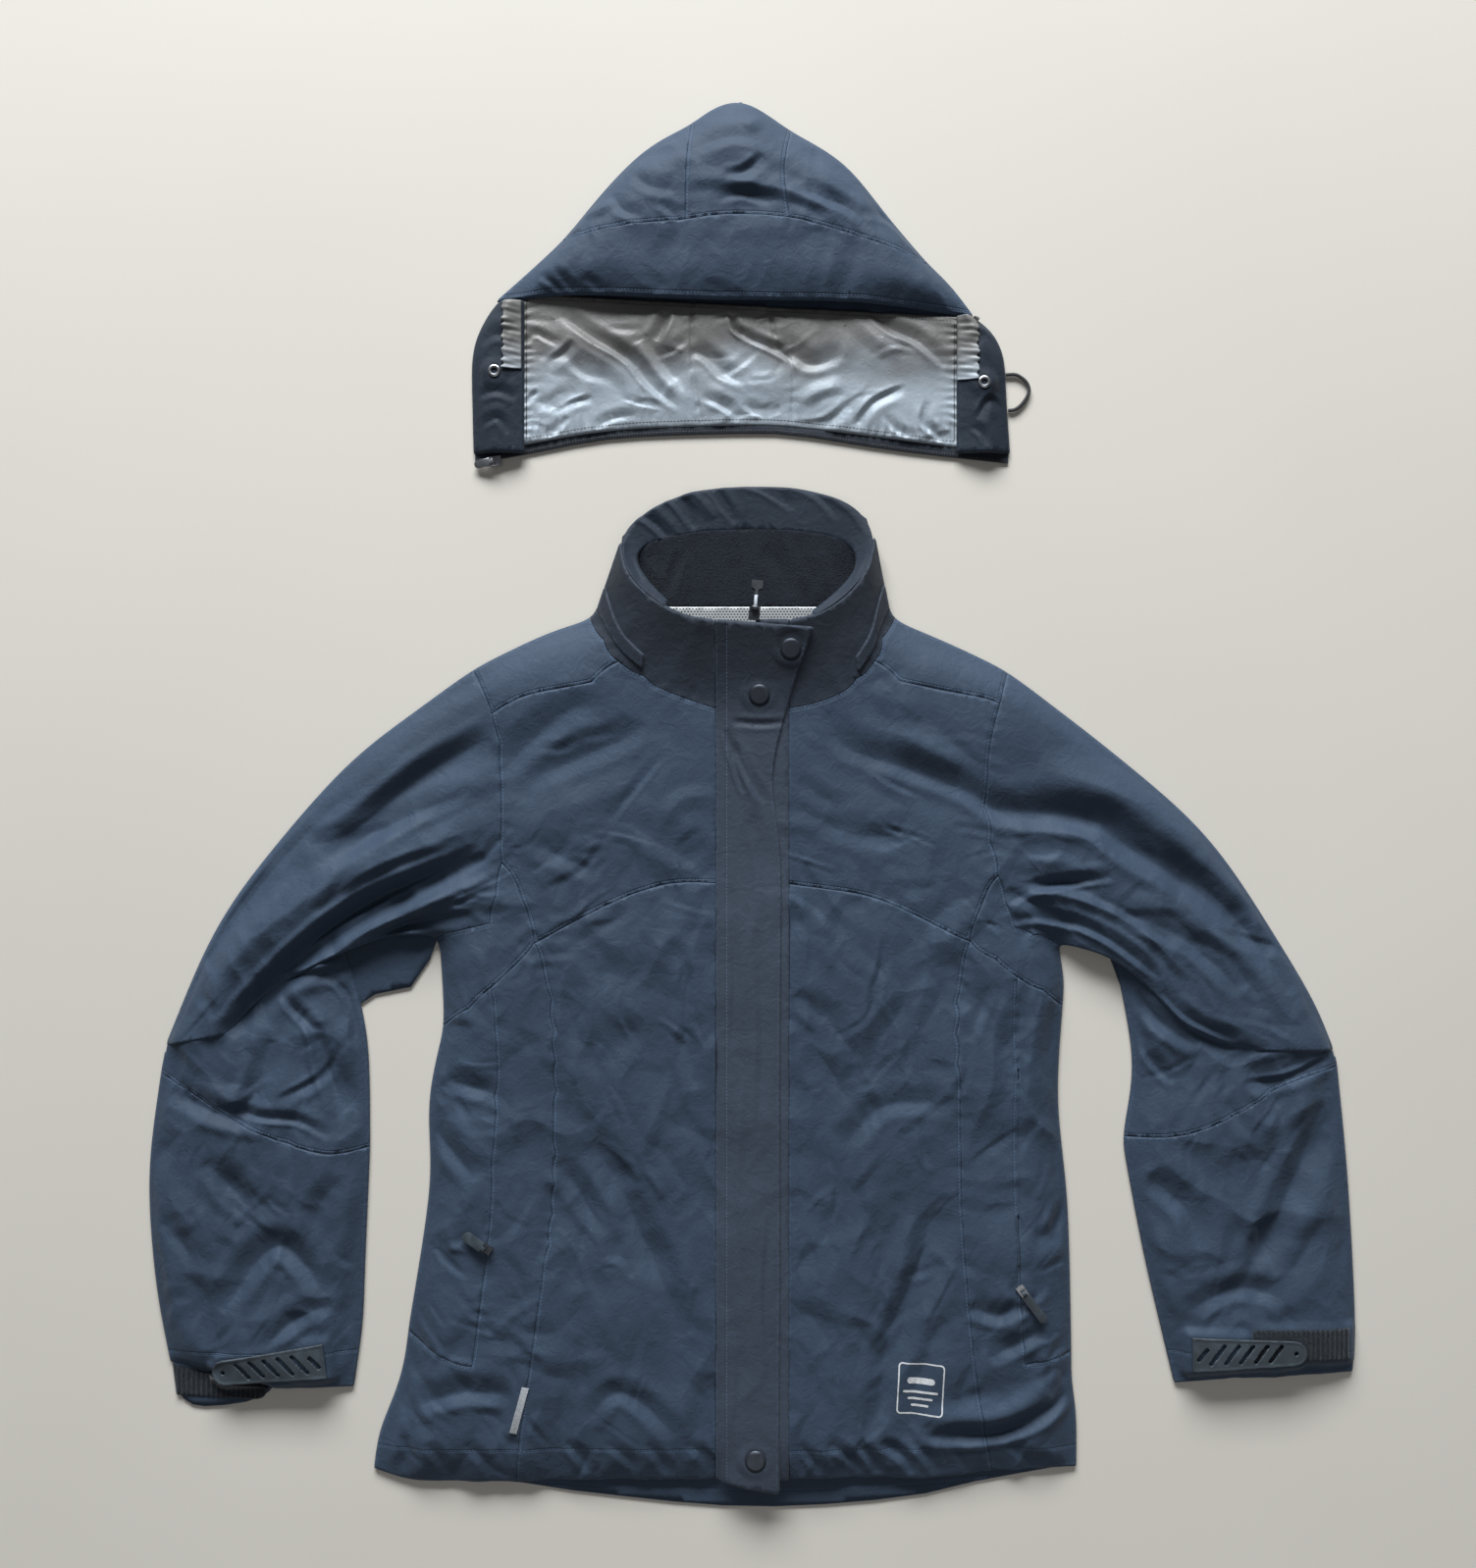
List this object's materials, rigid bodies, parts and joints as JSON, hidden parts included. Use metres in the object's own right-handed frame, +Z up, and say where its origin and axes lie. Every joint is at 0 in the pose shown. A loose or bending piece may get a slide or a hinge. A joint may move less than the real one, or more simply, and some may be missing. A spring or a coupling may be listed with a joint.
{
  "type": "waterproof jacket",
  "caption": "Hooded waterproof shell jacket lying closed and flat, front up, its zip-off hood laid above the open collar, with rubber cuff tabs, snaps and zip pulls that swing.",
  "frame": {"origin": "middle of the whole outline seen from above, on the surface that the jacket lies on", "axes": "+Y runs from the hem towards the collar and the hood, +X towards the wearer's left sleeve, +Z up from the surface, out of the jacket's front"},
  "size_m": [0.9788, 1.1448, 0.0408],
  "materials": {
    "shell_cloth": "matte woven nylon, dark blue grey",
    "placket_cloth": "matte woven nylon, charcoal",
    "fleece": "brushed fleece",
    "mesh": "open knitted mesh, silver",
    "lining": "satin, silver taupe",
    "rubber": "matte moulded",
    "gunmetal": "satin, blue black",
    "steel": "satin",
    "label_tape": "plain woven tape, light grey",
    "elastic": "braided elastic, black"
  },
  "bodies": {
    "jacket": {"back": "shell_cloth", "chest_left": "shell_cloth", "chest_right": "shell_cloth", "collar_back": "placket_cloth", "collar_facing": "shell_cloth", "collar_fleece": "fleece", "collar_left": "placket_cloth", "collar_right": "placket_cloth", "cuff_loop_band_left": "placket_cloth", "cuff_loop_band_right": "placket_cloth", "cuff_tab_left": "rubber", "cuff_tab_right": "rubber", "elbow_left": "shell_cloth", "elbow_right": "shell_cloth", "forearm_left": "shell_cloth", "forearm_right": "shell_cloth", "front_left": "shell_cloth", "front_right": "shell_cloth", "hood_back": "shell_cloth", "hood_brim": "shell_cloth", "hood_cord": "elastic", "hood_crown": "shell_cloth", "hood_eyelet_left": "steel", "hood_eyelet_right": "steel", "hood_facing_left": "placket_cloth", "hood_facing_right": "placket_cloth", "hood_lining": "lining", "hood_side_left": "shell_cloth", "hood_side_right": "shell_cloth", "hood_slider": "steel", "hood_zip_cover_left": "placket_cloth", "hood_zip_cover_right": "placket_cloth", "hood_zip_tape": "placket_cloth", "main_slider": "gunmetal", "neck_mesh": "mesh", "pocket_left_slider": "steel", "pocket_panel_left": "shell_cloth", "pocket_panel_right": "shell_cloth", "pocket_right_slider": "gunmetal", "seam_label": "label_tape", "side_left": "shell_cloth", "side_right": "shell_cloth", "snap_collar": "gunmetal", "snap_hem": "gunmetal", "snap_neck": "gunmetal", "storm_flap": "placket_cloth", "under_sleeve_left": "shell_cloth", "under_sleeve_right": "shell_cloth", "underarm_left": "shell_cloth", "underarm_right": "shell_cloth", "upper_sleeve_left": "shell_cloth", "upper_sleeve_right": "shell_cloth", "yoke_left": "shell_cloth", "yoke_right": "shell_cloth", "zip_guard": "placket_cloth"},
    "main_pull": {"main_pull": "rubber"},
    "pocket_right_pull": {"pocket_right_pull": "rubber"},
    "pocket_left_pull": {"pocket_left_pull": "rubber"},
    "hood_pull": {"hood_pull": "steel"}
  },
  "joints": [
    {"name": "main_pull_hinge", "type": "hinge", "parent": "jacket", "child": "main_pull", "pos_m": [0.00195, 0.15644, 0.0386], "axis": [0.995, -0.0998, 0], "range_deg": [0, 150]},
    {"name": "pocket_right_pull_hinge", "type": "hinge", "parent": "jacket", "child": "pocket_right_pull", "pos_m": [-0.21555, -0.35618, 0.0227], "axis": [0.5403, 0.8415, 0], "range_deg": [0, 150]},
    {"name": "pocket_left_pull_hinge", "type": "hinge", "parent": "jacket", "child": "pocket_left_pull", "pos_m": [0.21805, -0.39254, 0.0227], "axis": [-0.8011, -0.5985, 0], "range_deg": [0, 150]},
    {"name": "hood_pull_hinge", "type": "hinge", "parent": "jacket", "child": "hood_pull", "pos_m": [-0.2114, 0.27843, 0.0066], "axis": [-0.1782, 0.984, 0], "range_deg": [0, 150]}
  ]
}
